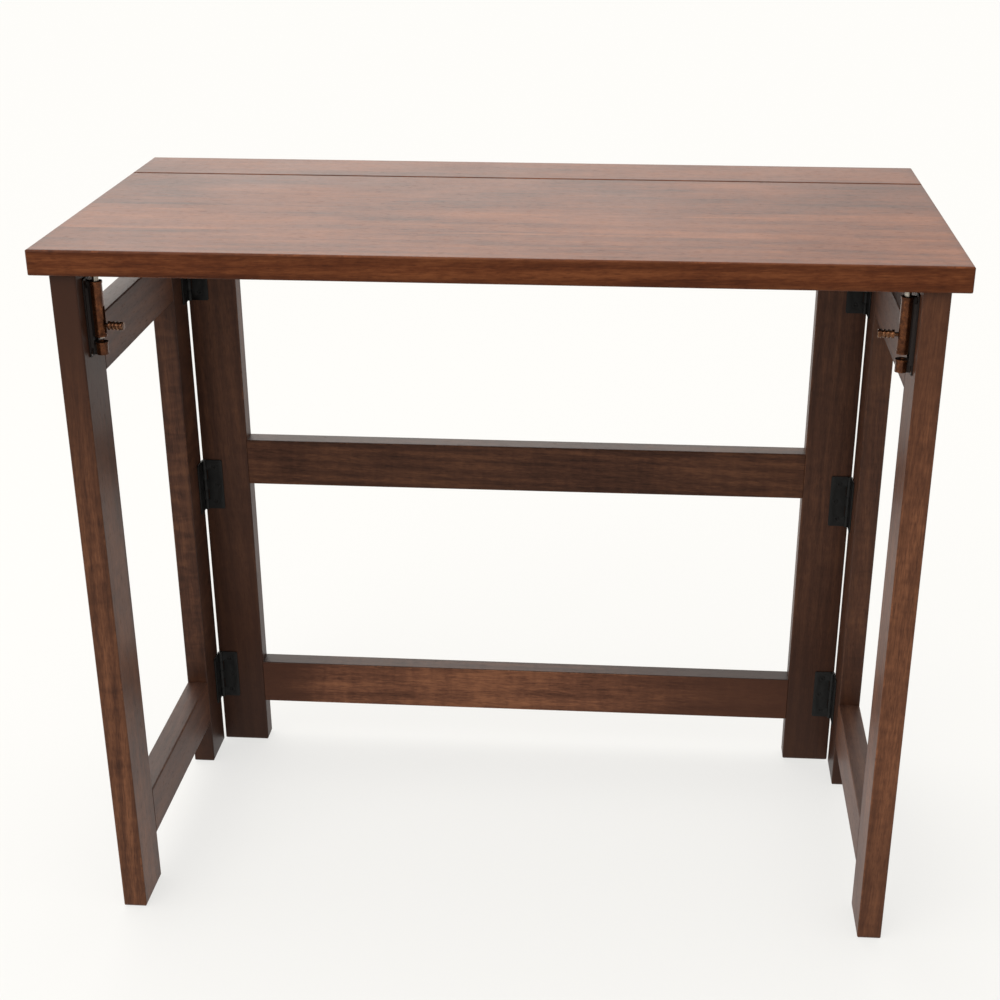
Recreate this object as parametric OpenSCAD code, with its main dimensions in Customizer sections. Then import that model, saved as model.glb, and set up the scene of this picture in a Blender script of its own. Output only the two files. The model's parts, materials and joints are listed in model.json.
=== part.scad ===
// Folding writing table: a hinged top over a back frame and two swinging side frames.
// Origin: floor level, centre of the footprint. +X runs along the table, -Y faces the sitter.

/* [Top] */
// Length of the top along X
top_length = 885; // [820:5:960]
// Depth of the top along Y
top_depth = 464; // [460:1:480]
// Thickness of the top
top_thick = 25; // [22:1:32]
// Height of the top surface above the floor
table_height = 750; // [700:5:800]
// Depth of the fixed rear strip
strip_depth = 92; // [90:1:96]
// Width of the seam between leaf and strip
seam_gap = 2; // [1.5:0.5:3]
// Radius on the edges of the top
top_edge_r = 2.5; // [1:0.5:4]

/* [Frames] */
// Width of the back posts
post_width = 57.5; // [50:0.5:60]
// Thickness of the framing stock
stock_thick = 26; // [22:1:27]
// Height of the rails
rail_height = 57; // [45:1:60]
// Width of the front legs of the side frames
front_leg_width = 65; // [50:1:68]
// Width of the rear legs of the side frames
rear_leg_width = 60; // [50:1:62]
// Depth of each side frame along Y
side_frame_depth = 390; // [380:1:392]
// Distance from the centre to the inner face of a side frame
side_inner_x = 399; // [396:1:405]
// Distance the top stands out in front of the legs
front_overhang = 9; // [0:1:9]
// Height of the underside of the bottom rails above the floor
bottom_rail_z = 59; // [40:1:100]
// Height of the underside of the back frame's middle rail
mid_rail_z = 364.5; // [300:0.5:420]
// Gap between the side frames' top rails and the underside of the top
top_rail_drop = 57; // [50:1:70]
// Radius on the edges of the framing stock
edge_r = 2; // [1:0.5:3]
// Radius on the edges of the feet
foot_r = 4; // [1:0.5:5]
// Free height between the leg tops and the underside of the top
leg_clearance = 0.6; // [0.4:0.1:1.5]

/* [Hinges] */
// Length of a hinge along its pin
hinge_length = 64; // [50:1:76]
// Width of one hinge plate from the pin outwards
plate_width = 22; // [19:0.5:22]
// Thickness of a hinge plate
plate_thick = 1.6; // [1.2:0.1:1.8]
// Radius of a hinge knuckle
knuckle_r = 3; // [2.8:0.1:3.2]
// Radius of a hinge pin
pin_r = 1.25; // [1:0.05:1.4]
// Height of the lowest hinge of each side frame
lower_hinge_z = 98; // [60:1:110]
// Distance between the hinges of a side frame
hinge_spacing = 265; // [200:1:265]
// Distance of each leaf hinge from the centre
leaf_hinge_x = 200; // [110:5:290]

/* [Tower bolts] */
// Distance from the leg's front face to the centre of the bolt
bolt_inset = 29; // [24:1:32]
// Distance from the leg's face to the centre of the bolt's rod
bolt_standoff = 9.7; // [9:0.1:11]
// Radius of the sliding rod
rod_r = 3.25; // [2.8:0.05:3.4]
// Length of the sliding rod
rod_length = 62; // [60:1:64]
// Outer radius of the bolt's barrel
barrel_r = 6; // [5.6:0.1:6.2]
// Distance from the rod's tip down to its knob
knob_drop = 49.3; // [48:0.1:51]
// Direction of the knob away from square to the leg, in degrees
knob_turn = 8; // [0:1:20]
// How far the left rod stands below the right one as drawn
left_rod_drop = 7; // [0:0.5:10]
// Free height between the right rod's tip and the underside of the top
rod_clearance = 0.7; // [0.5:0.1:2]
// How far a rod rises into its keeper, from the clearance height
rod_throw_up = 10; // [6:0.5:11]
// How far a rod draws down, from the clearance height
rod_throw_down = 12.5; // [12:0.5:13]

/* [Hidden] */
$fn = 48;

LEFT = -1;
RIGHT = 1;
LOWER = 0;
MIDDLE = 1;
UPPER = 2;
LEVELS = [LOWER, MIDDLE, UPPER];
WOOD = "#5a2b1a";
WOOD_DARK = "#3f2016";
BEECH = "#c9a06a";
BLACK = "#1b1b1c";
COPPER = "#7a4327";
STEEL = "#b9bcc0";

// Small amount by which cutters pass the faces they cut
over = 1;
// Radial clearance of pins and rods that turn or slide
running = 0.05;

underside_z = table_height - top_thick;
front_y = -top_depth / 2;
rear_y = top_depth / 2;
strip_front_y = rear_y - strip_depth;
leaf_depth = top_depth - strip_depth - seam_gap;
seam_y = strip_front_y - seam_gap / 2;

leg_top_z = underside_z - leg_clearance;
leg_front_y = front_y + front_overhang;
pin_y = leg_front_y + side_frame_depth;
pin_x = side_inner_x - knuckle_r;
post_front_y = pin_y + knuckle_r;
post_side_gap = 0.8;
post_outer_x = side_inner_x - post_side_gap;
post_inner_x = post_outer_x - post_width;
rear_leg_y = pin_y - rear_leg_width;
rail_start_y = leg_front_y + front_leg_width;
side_top_rail_z = underside_z - top_rail_drop - rail_height;

tenon_length = 30;
tenon_thick = 9;
tenon_shoulder = 8;
mortise_spare = 1;

dowel_r = 5;
dowel_reach = 15;
dowel_sink = 35;
dowel_pitch = 30;

screw_head_r = 3.4;
screw_shank_r = 1.7;
screw_length = 18;
screw_point = 4;
short_screw_length = 8;
short_head_r = 2.8;
short_shank_r = 1.3;
recess_width = 0.8;
recess_depth = 0.9;
screw_pitch_z = hinge_length * 0.35;
screw_near = 12;
screw_far = 15.3;

knuckle_count = 5;
knuckle_gap = 0.3;
knuckle_pitch = hinge_length / knuckle_count;
seam_pin_z = underside_z - knuckle_r;

bolt_y = leg_front_y + bolt_inset;
bolt_plate_thick = 1.5;
bolt_plate_width = 24;
bolt_plate_top = underside_z - 9;
bolt_plate_height = 78;
bolt_rib_y = 8.2;
bolt_rib_width = 1.4;
bolt_rib_height = 2.6;
bolt_rib_inset = 9;
barrel_top = underside_z - 13;
barrel_length = 55;
barrel_ring = 2.2;
barrel_ring_r = barrel_r + 0.5;
collar_length = 12.5;
collar_gap = 5.5;
saddle_width = 7;
neck_r = 2.1;
neck_socket = 2.4;
slot_half_width = 2.4;
knob_r = 4.3;
knob_length = 15;
knob_gap = 3;
knob_rings = 3;
knob_groove = 0.9;
bolt_screw_inset = 4;

rod_top_limit = underside_z - rod_clearance;
knob_high_z = rod_top_limit + rod_throw_up - knob_drop;
knob_low_z = rod_top_limit - rod_throw_down - knob_drop;

keeper_length = 24;
keeper_width = 20;
keeper_thick = 1.5;
keeper_hole_r = rod_r + 0.5;
keeper_bore_depth = 14;
keeper_screw_x = 8.5;

// Stock shapes

module rounded_rect(w, h, r) {
    translate([r, 0]) square([w - 2 * r, h]);
    translate([0, r]) square([w, h - 2 * r]);
    for (x = [r, w - r], y = [r, h - r]) {
        translate([x, y]) circle(r);
    }
}

// A bar along X with its four long edges rounded
module bar_x(size, r) {
    rotate([90, 0, 90]) linear_extrude(size.x) rounded_rect(size.y, size.z, r);
}

// A bar along Y with its four long edges rounded
module bar_y(size, r) {
    translate([0, size.y, 0])
        rotate([90, 0, 0]) linear_extrude(size.y) rounded_rect(size.x, size.z, r);
}

// A board with all its edges rounded
module board(size, r) {
    intersection() {
        linear_extrude(size.z) rounded_rect(size.x, size.y, r);
        bar_x(size, r);
        bar_y(size, r);
    }
}

// A board on end, with a rounder foot
module upright(size) {
    tall = [size.x, size.y, size.z + foot_r];
    intersection() {
        linear_extrude(size.z) rounded_rect(size.x, size.y, edge_r);
        bar_x(tall, foot_r);
        bar_y(tall, foot_r);
    }
}

// Screws stand along Z with the head's flat face at the origin, pointing down

module screw_head(r_head, r_shank, depth, spare = 0) {
    translate([0, 0, -depth])
        cylinder(h = depth, r1 = r_shank + spare, r2 = r_head + spare);
}

module wood_screw(length, r_head, r_shank, head_depth) {
    point_start = length - screw_point;
    difference() {
        union() {
            screw_head(r_head, r_shank, head_depth);
            translate([0, 0, -point_start])
                cylinder(h = point_start - head_depth, r = r_shank);
            translate([0, 0, -length])
                cylinder(h = screw_point, r1 = r_shank / 4, r2 = r_shank);
        }
        for (a = [0, 90]) {
            rotate([0, 0, a])
                translate([-r_shank, -recess_width / 2, -recess_depth])
                    cube([2 * r_shank, recess_width, recess_depth + over]);
        }
    }
}

module long_screw() {
    wood_screw(screw_length, screw_head_r, screw_shank_r, plate_thick);
}

module short_screw() {
    wood_screw(short_screw_length, short_head_r, short_shank_r, keeper_thick);
}

module pilot(length, r) {
    translate([0, 0, -length - mortise_spare]) cylinder(h = length + mortise_spare, r = r + running);
}

// Hinges. The pin stands along Z at the origin. A plate lies along -X, with its mounting face
// on the plane Y = knuckle_r, and its screws are driven along +Y.

function knuckle_z(i) = (i - knuckle_count / 2) * knuckle_pitch;

module hinge_screw_points() {
    points = [[screw_near, screw_pitch_z], [screw_far, 0], [screw_near, -screw_pitch_z]];
    for (p = points) {
        translate([-p.x, knuckle_r - plate_thick, p.y]) rotate([90, 0, 0]) children();
    }
}

module knuckles(list) {
    for (i = list) {
        translate([0, 0, knuckle_z(i) + knuckle_gap / 2])
            cylinder(h = knuckle_pitch - knuckle_gap, r = knuckle_r);
    }
}

module plate_blank() {
    translate([-plate_width, knuckle_r, -hinge_length / 2])
        rotate([90, 0, 0]) linear_extrude(plate_thick) {
            translate([edge_r, 0]) square([plate_width - edge_r, hinge_length]);
            translate([0, edge_r]) square([plate_width, hinge_length - 2 * edge_r]);
            for (z = [edge_r, hinge_length - edge_r]) {
                translate([edge_r, z]) circle(edge_r);
            }
        }
}

// One hinge plate that owns the knuckles in own, and is notched round those in other
module hinge_plate(own, other) {
    notch = knuckle_r + 2 * knuckle_gap;
    color(BLACK) difference() {
        union() {
            difference() {
                plate_blank();
                for (i = other) {
                    translate([-notch, -over, knuckle_z(i) - knuckle_gap / 2])
                        cube([notch + over, knuckle_r + 2 * over, knuckle_pitch + knuckle_gap]);
                }
            }
            knuckles(own);
        }
        cylinder(h = hinge_length + 2 * over, r = pin_r + running, center = true);
        hinge_screw_points() screw_head(screw_head_r, screw_shank_r, plate_thick, running);
        hinge_screw_points() pilot(plate_thick, screw_shank_r);
    }
}

module outer_plate() {
    hinge_plate([0, 2, 4], [1, 3]);
}

module inner_plate() {
    hinge_plate([1, 3], [0, 2, 4]);
}

module hinge_pin() {
    color(BLACK) cylinder(h = hinge_length, r = pin_r, center = true);
}

// Puts a child at a side frame's hinge, mirrored for the left side
module at_side_hinge(side, level) {
    mirror([side < 0 ? 1 : 0, 0, 0])
        translate([pin_x, pin_y, lower_hinge_z + level * hinge_spacing]) children();
}

// Turns a plate from the post's front face to the rear leg's inner face
module on_frame() {
    rotate([180, 0, 90]) children();
}

module at_leaf_hinge(side) {
    translate([side * leaf_hinge_x, seam_y, seam_pin_z]) children();
}

// Turns a plate from the hinge's own frame to the underside of the strip
module on_strip() {
    rotate([90, 0, -90]) children();
}

// Turns a plate from the hinge's own frame to the underside of the leaf
module on_leaf() {
    rotate([90, 0, 90]) children();
}

module post_plate(side, level) {
    at_side_hinge(side, level) outer_plate();
}

module frame_plate(side, level) {
    at_side_hinge(side, level) on_frame() inner_plate();
}

module side_pin(side, level) {
    at_side_hinge(side, level) hinge_pin();
}

module frame_hinge_screws(side) {
    color(BLACK) for (level = LEVELS) {
        at_side_hinge(side, level) on_frame() hinge_screw_points() long_screw();
    }
}

module post_hinge_screws() {
    color(BLACK) for (side = [LEFT, RIGHT], level = LEVELS) {
        at_side_hinge(side, level) hinge_screw_points() long_screw();
    }
}

module strip_plate(side) {
    at_leaf_hinge(side) on_strip() outer_plate();
}

module leaf_plate(side) {
    at_leaf_hinge(side) on_leaf() inner_plate();
}

module leaf_pin(side) {
    at_leaf_hinge(side) on_strip() hinge_pin();
}

module leaf_hinge_strip_screws() {
    color(BLACK) for (side = [LEFT, RIGHT]) {
        at_leaf_hinge(side) on_strip() hinge_screw_points() long_screw();
    }
}

module leaf_hinge_leaf_screws() {
    color(BLACK) for (side = [LEFT, RIGHT]) {
        at_leaf_hinge(side) on_leaf() hinge_screw_points() long_screw();
    }
}

// Top

module keeper_place(side) {
    translate([side * (side_inner_x - bolt_standoff), bolt_y, underside_z]) children();
}

module keeper_screw_places(side) {
    keeper_place(side) for (x = [-keeper_screw_x, keeper_screw_x]) {
        translate([x, 0, 0]) rotate([180, 0, 0]) children();
    }
}

module keeper_blank(height) {
    translate([-keeper_length / 2, -keeper_width / 2, 0])
        linear_extrude(height) rounded_rect(keeper_length, keeper_width, edge_r);
}

module top_leaf() {
    color(WOOD) difference() {
        translate([-top_length / 2, front_y, underside_z])
            board([top_length, leaf_depth, top_thick], top_edge_r);
        for (side = [LEFT, RIGHT]) {
            keeper_place(side) translate([0, 0, -over]) keeper_blank(keeper_thick + over);
            keeper_place(side) cylinder(h = keeper_bore_depth, r = keeper_hole_r);
            keeper_screw_places(side) pilot(short_screw_length, short_shank_r);
            at_leaf_hinge(side) on_leaf() hinge_screw_points() pilot(screw_length, screw_shank_r);
        }
    }
}

module dowel_places() {
    post_centre = (post_outer_x + post_inner_x) / 2;
    for (side = [LEFT, RIGHT], step = [-0.5, 0.5]) {
        translate([side * post_centre + step * dowel_pitch,
                   post_front_y + stock_thick / 2, underside_z]) children();
    }
}

module top_strip() {
    color(WOOD) difference() {
        translate([-top_length / 2, strip_front_y, underside_z])
            board([top_length, strip_depth, top_thick], top_edge_r);
        dowel_places() translate([0, 0, -over])
            cylinder(h = dowel_reach + mortise_spare + over, r = dowel_r);
        for (side = [LEFT, RIGHT]) {
            at_leaf_hinge(side) on_strip() hinge_screw_points() pilot(screw_length, screw_shank_r);
        }
    }
}

module strip_dowels() {
    color(BEECH) dowel_places() translate([0, 0, -dowel_sink])
        cylinder(h = dowel_sink + dowel_reach, r = dowel_r);
}

module bolt_keeper(side) {
    color(COPPER) difference() {
        keeper_place(side) keeper_blank(keeper_thick);
        keeper_place(side) translate([0, 0, -over])
            cylinder(h = keeper_thick + 2 * over, r = keeper_hole_r);
        keeper_screw_places(side) screw_head(short_head_r, short_shank_r, keeper_thick, running);
        keeper_screw_places(side) pilot(keeper_thick, short_shank_r);
    }
}

module bolt_keeper_screws() {
    color(COPPER) for (side = [LEFT, RIGHT]) {
        keeper_screw_places(side) short_screw();
    }
}

// Framing: tenons lie along X on the back rails and along Y on the side rails

module tenon(length) {
    translate([-length, (stock_thick - tenon_thick) / 2, tenon_shoulder])
        cube([length, tenon_thick, rail_height - 2 * tenon_shoulder]);
}

module back_rail(z) {
    span = 2 * post_inner_x;
    color(WOOD_DARK) translate([-post_inner_x, post_front_y, z]) {
        bar_x([span, stock_thick, rail_height], edge_r);
        tenon(tenon_length);
        translate([span + tenon_length, 0, 0]) tenon(tenon_length);
    }
}

module back_post(side) {
    color(WOOD_DARK) difference() {
        mirror([side < 0 ? 1 : 0, 0, 0])
            translate([post_inner_x, post_front_y, 0])
                upright([post_width, stock_thick, underside_z]);
        for (z = [bottom_rail_z, mid_rail_z]) {
            mirror([side < 0 ? 1 : 0, 0, 0])
                translate([post_inner_x + tenon_length + mortise_spare, post_front_y, z])
                    tenon(tenon_length + mortise_spare + over);
        }
        dowel_places() translate([0, 0, -dowel_sink - mortise_spare])
            cylinder(h = dowel_sink + mortise_spare + over, r = dowel_r);
        for (level = LEVELS) {
            at_side_hinge(side, level) hinge_screw_points() pilot(screw_length, screw_shank_r);
        }
    }
}

// Puts a child in a side frame, where X runs outwards from its inner face
module in_side_frame(side) {
    mirror([side < 0 ? 1 : 0, 0, 0]) translate([side_inner_x, 0, 0]) children();
}

module side_tenon(y, z, length) {
    translate([0, y, z]) rotate([0, 0, 90]) mirror([0, 1, 0]) tenon(length);
}

module side_rail(side, z) {
    span = rear_leg_y - rail_start_y;
    color(WOOD_DARK) in_side_frame(side) {
        translate([0, rail_start_y, z]) bar_y([stock_thick, span, rail_height], edge_r);
        side_tenon(rail_start_y, z, tenon_length);
        side_tenon(rear_leg_y + tenon_length, z, tenon_length);
    }
}

module front_leg(side) {
    color(WOOD) difference() {
        in_side_frame(side) difference() {
            translate([0, leg_front_y, 0]) upright([stock_thick, front_leg_width, leg_top_z]);
            for (z = [bottom_rail_z, side_top_rail_z]) {
                side_tenon(rail_start_y + over, z, tenon_length + mortise_spare + over);
            }
        }
        bolt_place(side) bolt_screw_places() pilot(short_screw_length, short_shank_r);
    }
}

module rear_leg(side) {
    color(WOOD_DARK) difference() {
        in_side_frame(side) difference() {
            translate([0, rear_leg_y, 0]) upright([stock_thick, rear_leg_width, leg_top_z]);
            for (z = [bottom_rail_z, side_top_rail_z]) {
                side_tenon(rear_leg_y + tenon_length + mortise_spare, z,
                           tenon_length + mortise_spare + over);
            }
        }
        for (level = LEVELS) {
            at_side_hinge(side, level) on_frame()
                hinge_screw_points() pilot(screw_length, screw_shank_r);
        }
    }
}

// Tower bolts. Both are the same part, turned half round from one side to the other.
// X runs out from the leg's face and Z is the height above the floor.

module bolt_place(side) {
    translate([side * side_inner_x, bolt_y, 0]) rotate([0, 0, side < 0 ? 0 : 180]) children();
}

module bolt_screw_places() {
    y = bolt_plate_width / 2 - bolt_screw_inset;
    low = bolt_plate_top - bolt_plate_height + bolt_screw_inset;
    high = bolt_plate_top - bolt_screw_inset;
    for (s = [-1, 1], z = [low, high]) {
        translate([bolt_plate_thick, s * y, z]) rotate([0, 90, 0]) children();
    }
}

module bolt_tube(top, length, r) {
    translate([bolt_standoff, 0, top - length]) cylinder(h = length, r = r);
}

module bolt_saddle(top, length) {
    translate([0, -saddle_width / 2, top - length])
        cube([bolt_standoff - rod_r - 1, saddle_width, length]);
}

module bolt_slot() {
    depth = barrel_r + 3 * over;
    translate([bolt_standoff, 0, 0]) rotate([0, 0, -knob_turn]) {
        translate([0, -slot_half_width, knob_low_z])
            cube([depth, 2 * slot_half_width, knob_high_z - knob_low_z]);
        for (z = [knob_low_z, knob_high_z]) {
            translate([0, 0, z]) rotate([0, 90, 0]) cylinder(h = depth, r = slot_half_width);
        }
    }
}

module bolt_body(side) {
    collar_top = barrel_top - barrel_length - collar_gap;
    color(COPPER) bolt_place(side) difference() {
        union() {
            translate([0, -bolt_plate_width / 2, bolt_plate_top - bolt_plate_height])
                rotate([90, 0, 90]) linear_extrude(bolt_plate_thick)
                    rounded_rect(bolt_plate_width, bolt_plate_height, edge_r);
            for (s = [-1, 1]) {
                translate([0, s * bolt_rib_y - bolt_rib_width / 2,
                           bolt_plate_top - bolt_plate_height + bolt_rib_inset])
                    cube([bolt_plate_thick + bolt_rib_height, bolt_rib_width,
                          bolt_plate_height - 2 * bolt_rib_inset]);
            }
            bolt_saddle(barrel_top, barrel_length);
            bolt_saddle(collar_top, collar_length);
            bolt_tube(barrel_top, barrel_length, barrel_r);
            bolt_tube(barrel_top, barrel_ring, barrel_ring_r);
            bolt_tube(barrel_top - barrel_length + barrel_ring, barrel_ring, barrel_ring_r);
            bolt_tube(collar_top, collar_length, barrel_r);
            bolt_tube(collar_top, barrel_ring, barrel_ring_r);
        }
        bolt_tube(underside_z, bolt_plate_height + 2 * collar_length, rod_r + running);
        bolt_slot();
        bolt_screw_places() screw_head(short_head_r, short_shank_r, bolt_plate_thick, running);
        bolt_screw_places() pilot(bolt_plate_thick + over, short_shank_r);
    }
}

module bolt_screws(side) {
    color(COPPER) bolt_place(side) bolt_screw_places() short_screw();
}

function rod_tip(side) = rod_top_limit - (side < 0 ? left_rod_drop : 0);

// Puts a child at the knob's seat on the rod's centre line, with X along the knob
module at_knob(side) {
    bolt_place(side) translate([bolt_standoff, 0, rod_tip(side) - knob_drop])
        rotate([0, 0, -knob_turn]) children();
}

module bolt_rod(side) {
    chamfer = 0.8;
    color(STEEL) difference() {
        bolt_place(side) translate([bolt_standoff, 0, rod_tip(side)]) {
            translate([0, 0, -rod_length]) cylinder(h = rod_length - chamfer, r = rod_r);
            translate([0, 0, -chamfer]) cylinder(h = chamfer, r1 = rod_r, r2 = rod_r - chamfer);
        }
        at_knob(side) translate([rod_r - neck_socket, 0, 0])
            rotate([0, 90, 0]) cylinder(h = rod_r, r = neck_r);
    }
}

module bolt_knob(side) {
    neck = barrel_r + knob_gap;
    ring_pitch = knob_length / (knob_rings + 1);
    color(COPPER) at_knob(side) rotate([0, 90, 0]) difference() {
        union() {
            translate([0, 0, rod_r - neck_socket])
                cylinder(h = neck - rod_r + neck_socket, r = neck_r);
            translate([0, 0, neck]) cylinder(h = knob_length, r = knob_r);
            translate([0, 0, neck + knob_length])
                cylinder(h = knob_groove, r1 = knob_r, r2 = knob_r - knob_groove);
        }
        for (i = [1 : knob_rings]) {
            translate([0, 0, neck + i * ring_pitch])
                rotate_extrude() translate([knob_r, 0]) circle(knob_groove);
        }
    }
}

top_leaf();
top_strip();
strip_dowels();
back_post(LEFT);  // back_post_left
back_post(RIGHT);  // back_post_right
back_rail(mid_rail_z);  // back_mid_rail
back_rail(bottom_rail_z);  // back_bottom_rail
front_leg(LEFT);  // left_front_leg
rear_leg(LEFT);  // left_rear_leg
side_rail(LEFT, side_top_rail_z);  // left_top_rail
side_rail(LEFT, bottom_rail_z);  // left_bottom_rail
front_leg(RIGHT);  // right_front_leg
rear_leg(RIGHT);  // right_rear_leg
side_rail(RIGHT, side_top_rail_z);  // right_top_rail
side_rail(RIGHT, bottom_rail_z);  // right_bottom_rail
post_plate(LEFT, LOWER);  // left_lower_hinge_post_plate
frame_plate(LEFT, LOWER);  // left_lower_hinge_frame_plate
side_pin(LEFT, LOWER);  // left_lower_hinge_pin
post_plate(LEFT, MIDDLE);  // left_middle_hinge_post_plate
frame_plate(LEFT, MIDDLE);  // left_middle_hinge_frame_plate
side_pin(LEFT, MIDDLE);  // left_middle_hinge_pin
post_plate(LEFT, UPPER);  // left_upper_hinge_post_plate
frame_plate(LEFT, UPPER);  // left_upper_hinge_frame_plate
side_pin(LEFT, UPPER);  // left_upper_hinge_pin
post_plate(RIGHT, LOWER);  // right_lower_hinge_post_plate
frame_plate(RIGHT, LOWER);  // right_lower_hinge_frame_plate
side_pin(RIGHT, LOWER);  // right_lower_hinge_pin
post_plate(RIGHT, MIDDLE);  // right_middle_hinge_post_plate
frame_plate(RIGHT, MIDDLE);  // right_middle_hinge_frame_plate
side_pin(RIGHT, MIDDLE);  // right_middle_hinge_pin
post_plate(RIGHT, UPPER);  // right_upper_hinge_post_plate
frame_plate(RIGHT, UPPER);  // right_upper_hinge_frame_plate
side_pin(RIGHT, UPPER);  // right_upper_hinge_pin
post_hinge_screws();
frame_hinge_screws(LEFT);  // left_frame_hinge_screws
frame_hinge_screws(RIGHT);  // right_frame_hinge_screws
strip_plate(LEFT);  // leaf_hinge_left_strip_plate
leaf_plate(LEFT);  // leaf_hinge_left_leaf_plate
leaf_pin(LEFT);  // leaf_hinge_left_pin
strip_plate(RIGHT);  // leaf_hinge_right_strip_plate
leaf_plate(RIGHT);  // leaf_hinge_right_leaf_plate
leaf_pin(RIGHT);  // leaf_hinge_right_pin
leaf_hinge_strip_screws();
leaf_hinge_leaf_screws();
bolt_keeper(LEFT);  // bolt_keeper_left
bolt_keeper(RIGHT);  // bolt_keeper_right
bolt_keeper_screws();
bolt_body(LEFT);  // left_bolt_body
bolt_rod(LEFT);  // left_bolt_rod
bolt_knob(LEFT);  // left_bolt_knob
bolt_screws(LEFT);  // left_bolt_screws
bolt_body(RIGHT);  // right_bolt_body
bolt_rod(RIGHT);  // right_bolt_rod
bolt_knob(RIGHT);  // right_bolt_knob
bolt_screws(RIGHT);  // right_bolt_screws
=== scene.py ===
"""Folding writing table: materials, detailed fittings, stage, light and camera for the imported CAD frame."""
import json
import math

import bmesh
import bpy
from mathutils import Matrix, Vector

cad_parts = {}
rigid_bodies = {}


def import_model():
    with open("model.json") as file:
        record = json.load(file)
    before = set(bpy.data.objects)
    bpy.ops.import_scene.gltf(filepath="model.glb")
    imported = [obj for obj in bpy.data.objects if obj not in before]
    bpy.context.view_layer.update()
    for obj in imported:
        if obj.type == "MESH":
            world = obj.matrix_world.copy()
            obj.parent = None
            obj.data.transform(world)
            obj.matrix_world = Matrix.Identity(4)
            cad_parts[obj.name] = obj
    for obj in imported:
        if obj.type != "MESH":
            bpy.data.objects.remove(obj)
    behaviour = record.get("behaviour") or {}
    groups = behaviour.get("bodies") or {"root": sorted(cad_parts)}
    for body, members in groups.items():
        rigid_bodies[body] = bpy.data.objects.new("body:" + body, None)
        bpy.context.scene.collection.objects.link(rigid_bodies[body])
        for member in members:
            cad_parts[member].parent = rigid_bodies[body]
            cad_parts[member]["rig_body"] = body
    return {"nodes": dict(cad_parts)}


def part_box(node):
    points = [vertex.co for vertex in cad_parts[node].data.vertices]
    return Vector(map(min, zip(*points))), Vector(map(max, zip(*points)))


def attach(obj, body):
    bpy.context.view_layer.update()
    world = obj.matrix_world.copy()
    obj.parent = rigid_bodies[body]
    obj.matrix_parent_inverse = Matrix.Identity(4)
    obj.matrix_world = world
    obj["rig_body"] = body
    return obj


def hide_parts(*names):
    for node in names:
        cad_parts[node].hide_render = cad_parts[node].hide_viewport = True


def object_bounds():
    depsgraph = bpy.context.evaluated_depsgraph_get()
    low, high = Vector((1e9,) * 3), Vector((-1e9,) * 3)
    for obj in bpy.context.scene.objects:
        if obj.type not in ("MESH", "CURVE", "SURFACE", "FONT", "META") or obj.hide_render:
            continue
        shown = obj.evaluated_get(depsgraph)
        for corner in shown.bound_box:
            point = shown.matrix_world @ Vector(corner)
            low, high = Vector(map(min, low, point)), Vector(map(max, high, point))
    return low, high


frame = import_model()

CAD_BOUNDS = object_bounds()
NODES = frame["nodes"]
SCENE = bpy.context.scene
AXES = "xyz"


# ---------------------------------------------------------------- node helpers

def feed(tree, socket, value):
    """Links a socket, or sets a constant."""
    if isinstance(value, bpy.types.NodeSocket):
        tree.links.new(value, socket)
    else:
        socket.default_value = value


def add(tree, kind, inputs=None, **props):
    """A node of the given kind with its properties set and its inputs fed."""
    node = tree.nodes.new(kind)
    for key, value in props.items():
        setattr(node, key, value)
    for key, value in (inputs or {}).items():
        feed(tree, node.inputs[key], value)
    return node


def calc(tree, operation, *values, clamp=False):
    """One step of arithmetic on numbers."""
    node = add(tree, "ShaderNodeMath", operation=operation, use_clamp=clamp)
    for socket, value in zip(node.inputs, values):
        feed(tree, socket, value)
    return node.outputs[0]


def vector_math(tree, operation, *values):
    """One step of arithmetic on vectors."""
    node = add(tree, "ShaderNodeVectorMath", operation=operation)
    for socket, value in zip(node.inputs, values):
        feed(tree, socket, value)
    return node.outputs["Value" if operation == "DOT_PRODUCT" else 0]


def split(tree, vector):
    """The X, Y and Z of a vector."""
    return add(tree, "ShaderNodeSeparateXYZ", {"Vector": vector}).outputs


def span(tree, value, low, high, out_low=0.0, out_high=1.0, smooth=True):
    """Maps low..high to out_low..out_high, clamped."""
    node = add(tree, "ShaderNodeMapRange", {
        "Value": value, "From Min": low, "From Max": high, "To Min": out_low, "To Max": out_high},
        interpolation_type="SMOOTHSTEP" if smooth else "LINEAR")
    return node.outputs["Result"]


def mapped(tree, vector, scale=(1, 1, 1), rotation=(0, 0, 0), location=(0, 0, 0)):
    """A vector scaled, turned and then moved."""
    node = add(tree, "ShaderNodeMapping", {
        "Vector": vector, "Scale": scale, "Rotation": rotation, "Location": location})
    return node.outputs[0]


def noise(tree, vector, scale, detail=3.0, roughness=0.55, distortion=0.0, output="Fac"):
    """Cloudy noise, 0 to 1, or a colour of it."""
    node = add(tree, "ShaderNodeTexNoise", {
        "Vector": vector, "Scale": scale, "Detail": detail,
        "Roughness": roughness, "Distortion": distortion})
    return node.outputs[output]


def ramp(tree, factor, stops):
    """A colour ramp through (position, (r, g, b)) stops."""
    node = add(tree, "ShaderNodeValToRGB", {"Fac": factor})
    elements = node.color_ramp.elements
    while len(elements) < len(stops):
        elements.new(0.5)
    for element, (position, colour) in zip(elements, stops):
        element.position = position
        element.color = (*colour, 1.0)
    return node.outputs["Color"]


def blend(tree, factor, a, b, mode="MIX"):
    """Mixes two colours, each a socket or (r, g, b)."""
    node = add(tree, "ShaderNodeMix", data_type="RGBA", blend_type=mode)
    colours = [s for s in node.inputs if s.type == "RGBA"]
    feed(tree, node.inputs[0], factor)
    for socket, value in zip(colours, (a, b)):
        feed(tree, socket, value if isinstance(value, bpy.types.NodeSocket) else (*value, 1.0))
    return [s for s in node.outputs if s.type == "RGBA"][0]


def scaled(colour, factor):
    return [channel * factor for channel in colour]


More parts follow.
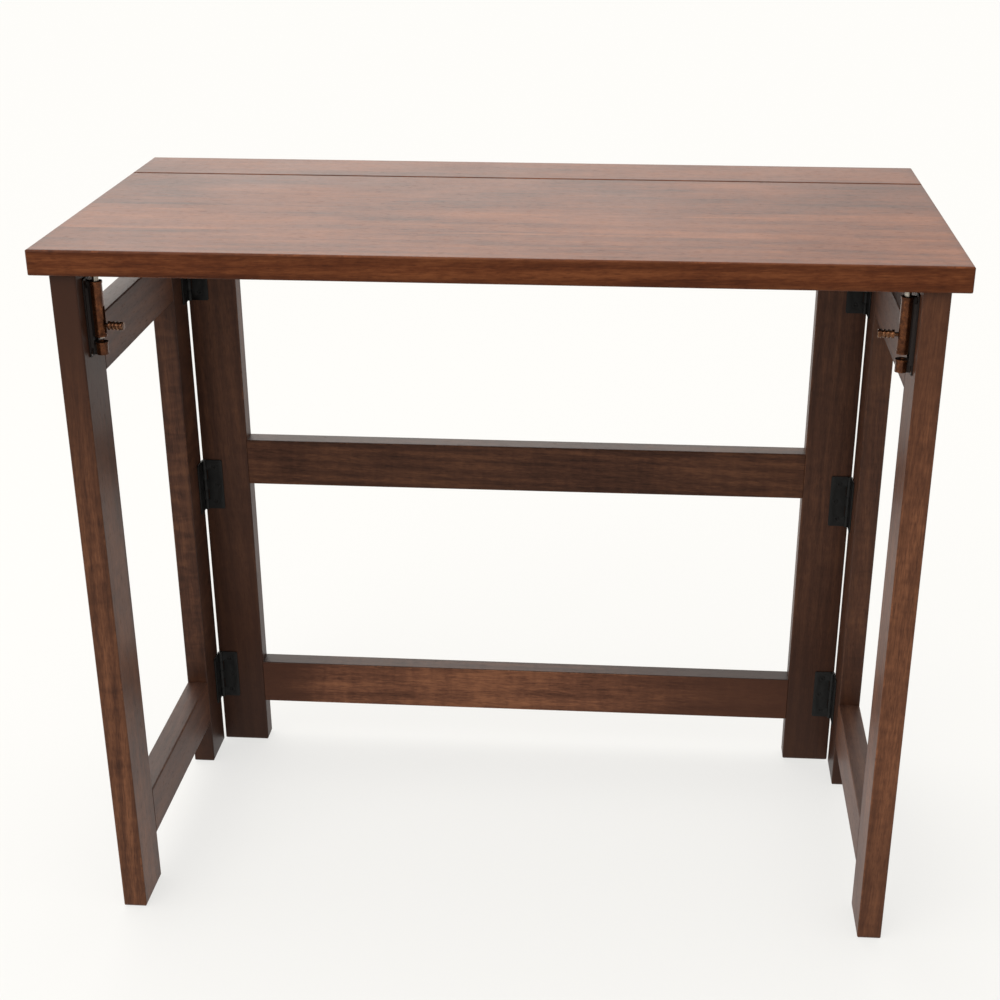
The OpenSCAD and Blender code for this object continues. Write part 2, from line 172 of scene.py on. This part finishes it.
def new_material(name):
    material = bpy.data.materials.new(name)
    material.use_nodes = True
    return material, material.node_tree, material.node_tree.nodes["Principled BSDF"]


def bump(tree, shader, *layers):
    """Chains bump layers of (height, strength, distance in metres) into the shader's normal."""
    normal = None
    for height, strength, distance in layers:
        node = add(tree, "ShaderNodeBump", {
            "Strength": strength, "Distance": distance, "Height": height})
        if normal:
            tree.links.new(normal, node.inputs["Normal"])
        normal = node.outputs[0]
    tree.links.new(normal, shader.inputs["Normal"])


def edge_distance(tree, position, low, high):
    """Distance from a point on a box's surface to the nearest edge of the box."""
    centre = [(a + b) / 2 for a, b in zip(low, high)]
    half = [(b - a) / 2 for a, b in zip(low, high)]
    x, y, z = [calc(tree, "SUBTRACT", h, calc(tree, "ABSOLUTE", calc(tree, "SUBTRACT", p, c)))
               for p, c, h in zip(split(tree, position), centre, half)]
    lower = calc(tree, "MINIMUM", x, y)
    upper = calc(tree, "MAXIMUM", x, y)
    return calc(tree, "MAXIMUM", lower, calc(tree, "MINIMUM", upper, z))


# ---------------------------------------------------------------- wood

# Turns the grain's axis onto X
GRAIN_TURN = {"x": (0, 0, 0), "y": (0, 0, -math.pi / 2), "z": (0, math.pi / 2, 0)}
GRAIN_TILT = 0.03  # Radians that a board may be sawn off the grain
BOARD_SHIFT = 0.35  # Metres that a board may be cut from the block's middle
PLANK_SHIFT = (1.7, 0.05, 0.05)  # The same for a glued plank: far along the grain, a little across it

SAPWOOD_DRIFT = 0.016  # Metres that a line of sapwood wanders
SAPWOOD_WIDTH = (0.0036, 0.0006)  # Half widths of a line where it starts and where it is full
SAPWOOD_SHADE = 0.30

# Distances from an edge, in metres, where a mark starts and where it is full
# Rubbed wear on the edges, with a painted highlight
EDGE_RUB_AND_HIGHLIGHT = (0.0024, 0.0003)
# Painted shade: a dark line beside the edges
EDGE_SHADE = (0.010, 0.0015)
# Strength of the pale edge: rubbed wear and a painted highlight
RUB_AND_HIGHLIGHT_STRENGTH = 0.5
# Strength of the painted shade line beside the edges
EDGE_SHADE_STRENGTH = 0.25
END_STRENGTH = 0.35
PORE_STRENGTH = 0.38

# Painted shade on faces that look up: it keeps less red than blue
UPWARD_SHADE_TINT = (1.0, 1.15, 1.45)


def lay_planks(tree, position, front, joints, shades, lines):
    """Glued planks across Y: a jump in the timber, a shade each, and pale broken lines of sapwood."""
    across = split(tree, position)["Y"]
    index, shade = 0.0, shades[0]
    for joint, before, after in zip(joints, shades, shades[1:]):
        beyond = calc(tree, "GREATER_THAN", across, front + joint)
        index = calc(tree, "ADD", beyond, index)
        shade = calc(tree, "MULTIPLY_ADD", beyond, after - before, shade)
    jump = add(tree, "ShaderNodeTexWhiteNoise", {"W": index}, noise_dimensions="1D").outputs["Color"]
    jump = vector_math(tree, "MULTIPLY", jump, PLANK_SHIFT)
    drift = noise(tree, mapped(tree, position, scale=(1, 0, 0)), 3.0, detail=2.0)
    broken = span(tree, noise(tree, mapped(tree, position, scale=(1, 0.2, 0)), 7.0), 0.46, 0.62)
    for line in lines:
        middle = calc(tree, "MULTIPLY_ADD", drift, SAPWOOD_DRIFT, front + line - SAPWOOD_DRIFT / 2)
        away = calc(tree, "ABSOLUTE", calc(tree, "SUBTRACT", across, middle))
        streak = calc(tree, "MULTIPLY", span(tree, away, *SAPWOOD_WIDTH), broken)
        shade = calc(tree, "MULTIPLY_ADD", streak, SAPWOOD_SHADE, shade)
    return jump, shade


def wood(name, node, seed, dark, mid, light, tone=1.0, figure=0.2, planks=None, gloss=0.42, axis=None,
         fades=(), upward_shade=1.0, ior=1.25, contrast=1.0):
    """Stained and varnished wood, one board at a time, cut from a solid block of growth rings.

    figure is the strength of the curl, fades are (start, end, strength) of darkening along the board in
    metres, and the upward factor paints shade on the faces that look up: it is how bright they stay.
    """
    low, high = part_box(node)
    size = high - low
    axis = axis or AXES[list(size).index(max(size))]
    material, tree, shader = new_material(name)
    position = add(tree, "ShaderNodeTexCoord").outputs["Object"]

    # The board's place in the block
    block = mapped(tree, position, rotation=GRAIN_TURN[axis])
    plank_shade = 0.0
    if planks:
        jump, plank_shade = lay_planks(tree, position, low.y, **planks)
        block = vector_math(tree, "ADD", block, jump)
    offset = Vector((math.sin(seed * 2.13), math.cos(seed * 1.71), math.sin(seed * 3.37 + 1.0)))
    turn = (0, GRAIN_TILT * math.sin(seed * 1.3 + 0.4), GRAIN_TILT * math.cos(seed * 2.7))
    block = mapped(tree, block, location=offset * BOARD_SHIFT, rotation=turn)

    # Everything that runs with the grain is stretched along X and sways a little
    stretched = mapped(tree, block, scale=(0.10, 1, 1))
    sway = noise(tree, stretched, 9.0, detail=2.0, output="Color")
    sway = vector_math(tree, "SUBTRACT", sway, (0.5, 0.5, 0.5))
    grain = vector_math(tree, "ADD", stretched, vector_math(tree, "MULTIPLY", sway, (0.0, 0.02, 0.02)))

    def along(stretch, scale, location=(0, 0, 0), **kind):
        return noise(tree, mapped(tree, grain, scale=(stretch, 1, 1), location=location), scale, **kind)

    heart = (0, 0.05 + 0.05 * math.sin(seed * 5.1), 0.07 + 0.03 * math.cos(seed * 4.3))
    rings = add(tree, "ShaderNodeTexWave", {
        "Vector": mapped(tree, grain, location=heart), "Scale": 26.0, "Distortion": 4.5, "Detail": 3.0,
        "Detail Scale": 1.4, "Detail Roughness": 0.6},
        wave_type="RINGS", rings_direction="X", wave_profile="SIN").outputs["Fac"]
    streaks = along(0.5, 130.0, detail=5.0, roughness=0.66)
    fibres = along(0.45, 760.0, roughness=0.65)
    flecks = along(2.2, 430.0, detail=2.0, roughness=0.6)
    pores = span(tree, along(0.8, 1150.0, location=(3, 1, 2), detail=1.0), 0.60, 0.74)
    cloud = noise(tree, mapped(tree, block, scale=(0.45, 1, 1)), 12.0, detail=4.0, roughness=0.62)
    curl = noise(tree, mapped(tree, block, scale=(1, 0.30, 0.30)), 95.0, detail=1.5, distortion=0.6)

    layers = [(value, amount * contrast) for value, amount in (
        (rings, 0.12), (streaks, 0.50), (fibres, 0.42), (flecks, 0.36), (cloud, 0.62), (curl, figure))]
    shade = calc(tree, "ADD", plank_shade, 0.5 - 0.5 * sum(amount for _, amount in layers))
    for value, amount in layers:
        shade = calc(tree, "MULTIPLY_ADD", value, amount, shade)
    colour = ramp(tree, shade, ((0.20, dark), (0.50, mid), (0.82, light)))
    colour = blend(tree, calc(tree, "MULTIPLY", pores, PORE_STRENGTH), colour, scaled(dark, 0.5))

    # Painted shade in a soft dark line beside the edges, and the edges themselves paler: rubbed wear and a
    # painted highlight
    inset = edge_distance(tree, position, low, high)
    patchy = noise(tree, position, 26.0, detail=4.0, roughness=0.65)
    scuffs = noise(tree, position, 210.0, roughness=0.7)
    rub = calc(tree, "MULTIPLY", span(tree, inset, *EDGE_RUB_AND_HIGHLIGHT), span(tree, patchy, 0.44, 0.68))
    rub = calc(tree, "MULTIPLY", rub, span(tree, scuffs, 0.36, 0.6))
    # The pale edge is rubbed wear and a painted highlight
    pale = [min(1.0, c * 1.7) for c in light]
    # Painted shade: a dark line beside the edges
    line = calc(tree, "MULTIPLY", span(tree, inset, *EDGE_SHADE), EDGE_SHADE_STRENGTH)
    colour = blend(tree, line, colour, scaled(dark, 0.8))
    colour = blend(tree, calc(tree, "MULTIPLY", rub, RUB_AND_HIGHLIGHT_STRENGTH), colour, pale)

    # Open end grain drinks more stain
    normal = add(tree, "ShaderNodeNewGeometry").outputs["Normal"]
    axis_vector = [1.0 if a == axis else 0.0 for a in AXES]
    facing = calc(tree, "ABSOLUTE", vector_math(tree, "DOT_PRODUCT", normal, axis_vector))
    colour = blend(tree, span(tree, facing, 0.7, 0.95, 0.0, END_STRENGTH), colour, scaled(dark, 0.7))

    # Darker towards the ends that fades give, and painted shade on the faces that look up
    for start, end, strength in fades:
        along_board = calc(tree, "ADD", split(tree, position)[axis.upper()], -0.06)
        ragged = calc(tree, "MULTIPLY_ADD", cloud, 0.12, along_board)
        darkening = span(tree, ragged, start, end, 0.0, strength)
        colour = blend(tree, darkening, colour, scaled(dark, 0.9))
    # Painted shade on the faces that look up, set by the face's direction
    if upward_shade != 1.0:
        level = span(tree, vector_math(tree, "DOT_PRODUCT", normal, (0, 0, 1)), 0.5, 0.9)
        dimmed = blend(tree, 1.0, colour, scaled(UPWARD_SHADE_TINT, upward_shade), mode="MULTIPLY")
        colour = blend(tree, level, colour, dimmed)
    if tone != 1.0:
        colour = blend(tree, 1.0, colour, [tone] * 3, mode="MULTIPLY")
    tree.links.new(colour, shader.inputs["Base Color"])

    # The varnish is smeared, and duller over fibres, pores and rubbed edges
    smear = noise(tree, position, 6.0, detail=4.0, roughness=0.6)
    roughness = calc(tree, "MULTIPLY_ADD", smear, 0.10, gloss - 0.05)
    roughness = calc(tree, "MULTIPLY_ADD", fibres, 0.10, calc(tree, "ADD", roughness, -0.05))
    roughness = calc(tree, "MULTIPLY_ADD", pores, 0.15, roughness)
    roughness = calc(tree, "MULTIPLY_ADD", rub, 0.18, roughness, clamp=True)
    tree.links.new(roughness, shader.inputs["Roughness"])
    shader.inputs["IOR"].default_value = ior

    bump(tree, shader,
         (streaks, 0.20, 0.00015), (fibres, 0.30, 0.00006),
         (calc(tree, "SUBTRACT", 1.0, pores), 0.35, 0.00007))
    return material


# ---------------------------------------------------------------- metals

RUB = "rub"  # The name of the face attribute that marks rolled edges
DUST = (0.022, 0.019, 0.017)
LEG_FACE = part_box("right_front_leg")[0].x
PLATE_FADE = 0.0030  # Metres over which the plate's black, with the painted shade on the barrel beside it, turns into the barrel's copper


def rubbed(tree):
    """1 on the rolled edges of a detailed fitting, 0 on its faces."""
    return add(tree, "ShaderNodeAttribute", attribute_name=RUB).outputs["Fac"]


def painted_metal(name, base, bare, wear, roughness=0.5):
    """Black paint on steel: fine orange peel, dust, and a little bare metal at the corners."""
    material, tree, shader = new_material(name)
    position = add(tree, "ShaderNodeTexCoord").outputs["Object"]
    peel = noise(tree, position, 900.0, detail=2.0)
    blotch = noise(tree, position, 110.0, detail=4.0, roughness=0.65)
    dust = noise(tree, position, 420.0, detail=4.0, roughness=0.7)
    worn = calc(tree, "MULTIPLY", rubbed(tree), span(tree, dust, 0.44, 0.60))
    worn = calc(tree, "MULTIPLY", worn, wear)
    colour = blend(tree, span(tree, blotch, 0.3, 0.75), scaled(base, 0.75), scaled(base, 1.5))
    colour = blend(tree, calc(tree, "MULTIPLY", span(tree, dust, 0.55, 0.8), 0.35), colour, DUST)
    colour = blend(tree, worn, colour, bare)
    tree.links.new(colour, shader.inputs["Base Color"])
    tree.links.new(calc(tree, "MULTIPLY", worn, 0.9), shader.inputs["Metallic"])
    rough = calc(tree, "MULTIPLY_ADD", blotch, 0.22, roughness - 0.11)
    tree.links.new(calc(tree, "MULTIPLY_ADD", worn, -0.12, rough), shader.inputs["Roughness"])
    shader.inputs["IOR"].default_value = 1.30
    bump(tree, shader, (peel, 0.3, 0.00008), (blotch, 0.25, 0.0003))
    return material


def antique_copper(name, tarnished, body, lit, bare, wear, plate_depth=None):
    """Copper plate: brown, bright on rubbed edges, duller on top with painted shade there, and nearly black
    near a leg's face: the plate's dark finish, with painted shade on the barrel's side towards the leg.
    """
    material, tree, shader = new_material(name)
    position = add(tree, "ShaderNodeTexCoord").outputs["Object"]
    cloud = noise(tree, position, 120.0, detail=4.0, roughness=0.62)
    speck = noise(tree, position, 700.0, roughness=0.65)
    scratch = noise(tree, mapped(tree, position, scale=(1, 1, 0.06)), 1500.0, detail=2.0)
    raised = 1.0
    if plate_depth:
        away = calc(tree, "ABSOLUTE", split(tree, position)["X"])
        raised = span(tree, calc(tree, "SUBTRACT", LEG_FACE, away), plate_depth, plate_depth + PLATE_FADE)
    worn = calc(tree, "MULTIPLY", rubbed(tree), span(tree, cloud, 0.36, 0.56))
    worn = calc(tree, "MULTIPLY", calc(tree, "MULTIPLY", worn, span(tree, speck, 0.28, 0.50)), raised)
    mottle = calc(tree, "MULTIPLY_ADD", speck, 0.4, calc(tree, "MULTIPLY", cloud, 0.6))
    colour = ramp(tree, mottle, ((0.30, tarnished), (0.50, body), (0.72, lit)))
    # Near the leg's face: the plate's dark finish, and painted shade on the barrel's side towards the leg
    colour = blend(tree, raised, scaled(tarnished, 0.6), colour)
    # Faces that look up: rougher, and darkened with painted shade
    dull_and_shaded_top = span(tree, split(tree, add(tree, "ShaderNodeNewGeometry").outputs["Normal"])["Z"], 0.6, 0.9)
    colour = blend(tree, dull_and_shaded_top, colour, scaled(tarnished, 0.5))
    colour = blend(tree, calc(tree, "MULTIPLY", worn, wear), colour, bare)
    tree.links.new(colour, shader.inputs["Base Color"])
    metal = calc(tree, "MULTIPLY", span(tree, worn, 0.0, 0.7, 0.80, 1.0), raised)
    tree.links.new(metal, shader.inputs["Metallic"])
    rough = calc(tree, "MULTIPLY_ADD", cloud, 0.22, 0.14)
    rough = calc(tree, "MULTIPLY_ADD", calc(tree, "SUBTRACT", 1.0, raised), 0.35, rough)
    rough = calc(tree, "MULTIPLY_ADD", worn, -0.05, rough)
    rough = calc(tree, "MULTIPLY_ADD", dull_and_shaded_top, 0.45, rough)
    tree.links.new(rough, shader.inputs["Roughness"])
    shader.inputs["IOR"].default_value = 1.35
    bump(tree, shader, (speck, 0.18, 0.00008), (scratch, 0.12, 0.00004))
    return material


def bright_steel(name, stained, grey, clean, scratched):
    """Zinc-plated steel with drawn scratches along the rod and a little tarnish."""
    material, tree, shader = new_material(name)
    position = add(tree, "ShaderNodeTexCoord").outputs["Object"]
    drawn = noise(tree, mapped(tree, position, scale=(1, 1, 0.03)), 2600.0, detail=2.0)
    stain = noise(tree, position, 160.0, detail=4.0, roughness=0.65)
    colour = ramp(tree, stain, ((0.3, stained), (0.52, grey), (0.75, clean)))
    colour = blend(tree, calc(tree, "MULTIPLY", drawn, 0.3), colour, scratched)
    tree.links.new(colour, shader.inputs["Base Color"])
    shader.inputs["Metallic"].default_value = 1.0
    tree.links.new(calc(tree, "MULTIPLY_ADD", drawn, 0.22, 0.20), shader.inputs["Roughness"])
    bump(tree, shader, (drawn, 0.2, 0.00004))
    return material


# ---------------------------------------------------------------- boards

LEG = dict(contrast=1.5,
           dark=(0.033, 0.0112, 0.0050), mid=(0.073, 0.0268, 0.0120), light=(0.128, 0.050, 0.0225))
FRAME = dict(dark=(0.026, 0.0098, 0.0054), mid=(0.056, 0.0220, 0.0118), light=(0.100, 0.041, 0.020))
TOP = dict(contrast=1.3, figure=0.10, gloss=0.38, ior=1.18,
           dark=(0.035, 0.0088, 0.0030), mid=(0.079, 0.0212, 0.0066), light=(0.135, 0.042, 0.0140))
BEECH = dict(dark=(0.36, 0.22, 0.11), mid=(0.52, 0.34, 0.18), light=(0.66, 0.46, 0.27))

# Joints and lines are in metres from the leaf's front edge
LEAF_PLANKS = dict(joints=(0.097, 0.207), shades=(0.03, 0.04, -0.05), lines=(0.100, 0.187))

BOARDS = {
    "top_leaf": dict(TOP, seed=1, planks=LEAF_PLANKS),
    "top_strip": dict(TOP, seed=2, tone=0.96),
    "left_front_leg": dict(LEG, seed=3, tone=1.12, fades=[(0.42, 0.70, 1.0)]),
    "right_front_leg": dict(LEG, seed=4, tone=1.46, fades=[(0.46, 0.70, 0.62), (0.30, 0.06, 0.44)]),
    "left_rear_leg": dict(FRAME, seed=5, figure=0.70, fades=[(0.26, 0.04, 0.70), (0.45, 0.66, 0.45)]),
    "right_rear_leg": dict(FRAME, seed=6, figure=0.3, tone=1.06, fades=[(0.26, 0.04, 0.60)]),
    "left_top_rail": dict(FRAME, seed=7, tone=1.45, ior=1.22, upward_shade=0.8),
    "left_bottom_rail": dict(FRAME, seed=8, tone=1.40, ior=1.23, upward_shade=0.5),
    "right_top_rail": dict(FRAME, seed=9, tone=1.45, ior=1.22, upward_shade=0.8),
    "right_bottom_rail": dict(FRAME, seed=10, tone=1.40, ior=1.23, upward_shade=0.5),
    "back_post_left": dict(FRAME, seed=11, tone=1.20, fades=[(0.60, 0.02, 0.74)]),
    "back_post_right": dict(FRAME, seed=12, tone=1.24, fades=[(0.42, 0.02, 0.78)]),
    "back_mid_rail": dict(FRAME, seed=13, tone=1.18, ior=1.21, contrast=1.4, upward_shade=0.6),
    "back_bottom_rail": dict(FRAME, seed=14, tone=2.25, ior=1.21, contrast=1.5, upward_shade=0.28,
                             fades=[(0.04, 0.28, 0.86), (-0.24, -0.33, 0.85)]),
    "strip_dowels": dict(BEECH, seed=20, axis="z"),
}

for board, look in BOARDS.items():
    board_wood = wood("wood_" + board, board, **look)
    for slot in NODES[board].material_slots:
        slot.material = board_wood


# ---------------------------------------------------------------- fittings

HINGE_PAINT = painted_metal("hinge_paint", (0.0065, 0.0065, 0.0063), (0.10, 0.09, 0.08), wear=0.45)
PIN_PAINT = painted_metal("pin_paint", (0.008, 0.008, 0.008), (0.24, 0.22, 0.19), wear=0.6, roughness=0.42)
SCREW_PAINT = painted_metal("screw_paint", (0.0050, 0.0048, 0.0046), (0.08, 0.07, 0.06), wear=0.25,
                            roughness=0.45)
COPPER_BODY = antique_copper("copper_body", (0.014, 0.007, 0.005), (0.085, 0.030, 0.013),
                             (0.22, 0.080, 0.030), (0.70, 0.36, 0.15), wear=0.8, plate_depth=0.0042)
COPPER_KNOB = antique_copper("copper_knob", (0.016, 0.008, 0.005), (0.080, 0.032, 0.015),
                             (0.25, 0.105, 0.045), (0.70, 0.45, 0.26), wear=0.72)
COPPER_SMALL = antique_copper("copper_small", (0.010, 0.006, 0.005), (0.030, 0.013, 0.008),
                              (0.070, 0.028, 0.014), (0.25, 0.12, 0.06), wear=0.3)
STEEL = bright_steel("rod_steel", (0.20, 0.16, 0.11), (0.40, 0.37, 0.31), (0.60, 0.57, 0.50),
                     (0.25, 0.24, 0.23))

# What a fitting's name ends with: its material, its slot and how far its sharp edges roll over, in metres
FITTINGS = (
    (("_post_plate", "_frame_plate", "_strip_plate", "_leaf_plate"), HINGE_PAINT, "hinge_black", 0.00035),
    (("_pin",), PIN_PAINT, "pin_black", 0.00030),
    (("_hinge_screws", "_strip_screws", "_leaf_screws"), SCREW_PAINT, "screw_black", 0.00012),
    (("_bolt_body",), COPPER_BODY, "antique_copper", 0.00040),
    (("_bolt_knob",), COPPER_KNOB, "antique_copper", 0.00035),
    (("_bolt_rod",), STEEL, "rod_steel", 0.00030),
    (("_bolt_screws", "_keeper_screws"), COPPER_SMALL, "screw_copper", 0.00012),
    (("_keeper_left", "_keeper_right"), COPPER_SMALL, "antique_copper", 0.00020),
)

MERGE_DISTANCE = 1e-6
FLAT_ANGLE = math.radians(1.5)  # Facets that meet flatter than this become one face
ROLL_ANGLE = math.radians(35)  # Edges that are sharper than this roll over
SMOOTH_ANGLE = math.radians(50)  # Edges that are sharper than this stay crisp in the shading


def detail_fitting(node, material, roll):
    """The fitting's own solid with its sharp edges rolled over, the rolled faces marked as rubbed."""
    mesh = NODES[node].data.copy()
    mesh.materials.clear()
    mesh.materials.append(material)
    work = bmesh.new()
    work.from_mesh(mesh)
    bmesh.ops.remove_doubles(work, verts=work.verts, dist=MERGE_DISTANCE)
    bmesh.ops.dissolve_limit(work, angle_limit=FLAT_ANGLE, verts=work.verts, edges=work.edges)
    for face in work.faces:
        face.material_index = 0
        face.smooth = True
    sharp = [edge for edge in work.edges
             if len(edge.link_faces) == 2 and edge.calc_face_angle() > ROLL_ANGLE]
    rub = work.faces.layers.float.new(RUB)
    rolled = bmesh.ops.bevel(work, geom=sharp, offset=roll, offset_type="OFFSET", segments=2,
                             profile=0.5, affect="EDGES", clamp_overlap=True)
    for face in rolled["faces"]:
        face[rub] = 1.0
    bmesh.ops.triangulate(work, faces=[face for face in work.faces if len(face.verts) > 4])
    work.to_mesh(mesh)
    work.free()
    mesh.set_sharp_from_angle(angle=SMOOTH_ANGLE)
    piece = bpy.data.objects.new(node + "_fine", mesh)
    SCENE.collection.objects.link(piece)
    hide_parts(node)
    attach(piece, NODES[node]["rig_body"])


for name in list(NODES):
    for endings, material, slot, roll in FITTINGS:
        if name.endswith(endings):
            detail_fitting(name, material, roll)
            break


# ---------------------------------------------------------------- stage, light and camera

FLOOR_HALF = 12.0
FLOOR_COLOUR = (0.13, 0.13, 0.128, 1)
FLOOR_GLOW = (1.0, 0.995, 0.975, 1)
FLOOR_GLOW_STRENGTH = 0.71

ROOM_COLOUR = (1.0, 0.972, 0.925, 1)
ROOM_SEEN = 0.97

KEY_PLACE = (-1.6, -2.6, 2.4)
KEY_TARGET = (0, 0, 0.5)
KEY_SIZE = 2.0
KEY_POWER = 38
KEY_COLOUR = (1.0, 0.96, 0.90)

CAMERA_PLACE = (0.1465, -1.8213, 1.1375)
CAMERA_TURN = (math.pi / 2 - 0.4550, 0.0, 0.0753)
CAMERA_LENS = 62.4
CAMERA_SENSOR = 36.0
CAMERA_SHIFT = (-0.02, 0.14)

# A pale floor that glows a little, so that the table's shadows on it stay soft
floor_pale, _, floor_shader = new_material("pale_floor")
floor_shader.inputs["Base Color"].default_value = FLOOR_COLOUR
floor_shader.inputs["Roughness"].default_value = 0.6
floor_shader.inputs["Emission Color"].default_value = FLOOR_GLOW
floor_shader.inputs["Emission Strength"].default_value = FLOOR_GLOW_STRENGTH
floor_shader.inputs["Specular IOR Level"].default_value = 0.0
floor_mesh = bpy.data.meshes.new("floor")
floor_mesh.from_pydata([(x * FLOOR_HALF, y * FLOOR_HALF, CAD_BOUNDS[0].z)
                        for x, y in ((-1, -1), (1, -1), (1, 1), (-1, 1))], [], [(0, 1, 2, 3)])
floor_mesh.materials.append(floor_pale)
floor = bpy.data.objects.new("floor", floor_mesh)
SCENE.collection.objects.link(floor)

# A white room: lit from the ceiling and the far wall, and dimmer on the right
world = bpy.data.worlds.new("white_room")
SCENE.world = world
world.use_nodes = True
room = world.node_tree
heading = split(room, add(room, "ShaderNodeTexCoord").outputs["Generated"])
ceiling = span(room, heading["Z"], 0.25, 0.95, 1.0, 3.6)
left_to_right = span(room, heading["X"], -0.18, 0.32, 1.04, 0.53)
far_wall = span(room, heading["Y"], 0.30, 0.95, 1.0, 2.20)
near_wall = span(room, heading["Y"], -0.60, 0.10, 0.72, 1.0)
strength = calc(room, "MULTIPLY", calc(room, "MULTIPLY", ceiling, left_to_right),
                calc(room, "MULTIPLY", far_wall, near_wall))
# It lights the table unevenly, but is seen evenly pale
seen = add(room, "ShaderNodeLightPath").outputs["Is Camera Ray"]
background = room.nodes["Background"]
background.inputs["Color"].default_value = ROOM_COLOUR
room.links.new(span(room, seen, 0.0, 1.0, strength, ROOM_SEEN, smooth=False), background.inputs["Strength"])

key_data = bpy.data.lights.new("key", "AREA")
key_data.size = KEY_SIZE
key_data.energy = KEY_POWER
key_data.color = KEY_COLOUR
key = bpy.data.objects.new("key", key_data)
key.location = KEY_PLACE
key.rotation_euler = (Vector(KEY_TARGET) - Vector(KEY_PLACE)).to_track_quat("-Z", "Y").to_euler()
SCENE.collection.objects.link(key)

camera_data = bpy.data.cameras.new("camera")
camera_data.lens = CAMERA_LENS
camera_data.sensor_width = CAMERA_SENSOR
camera_data.shift_x, camera_data.shift_y = CAMERA_SHIFT
camera = bpy.data.objects.new("camera", camera_data)
camera.location = CAMERA_PLACE
camera.rotation_euler = CAMERA_TURN
SCENE.collection.objects.link(camera)
SCENE.camera = camera

SCENE.view_settings.view_transform = "Standard"
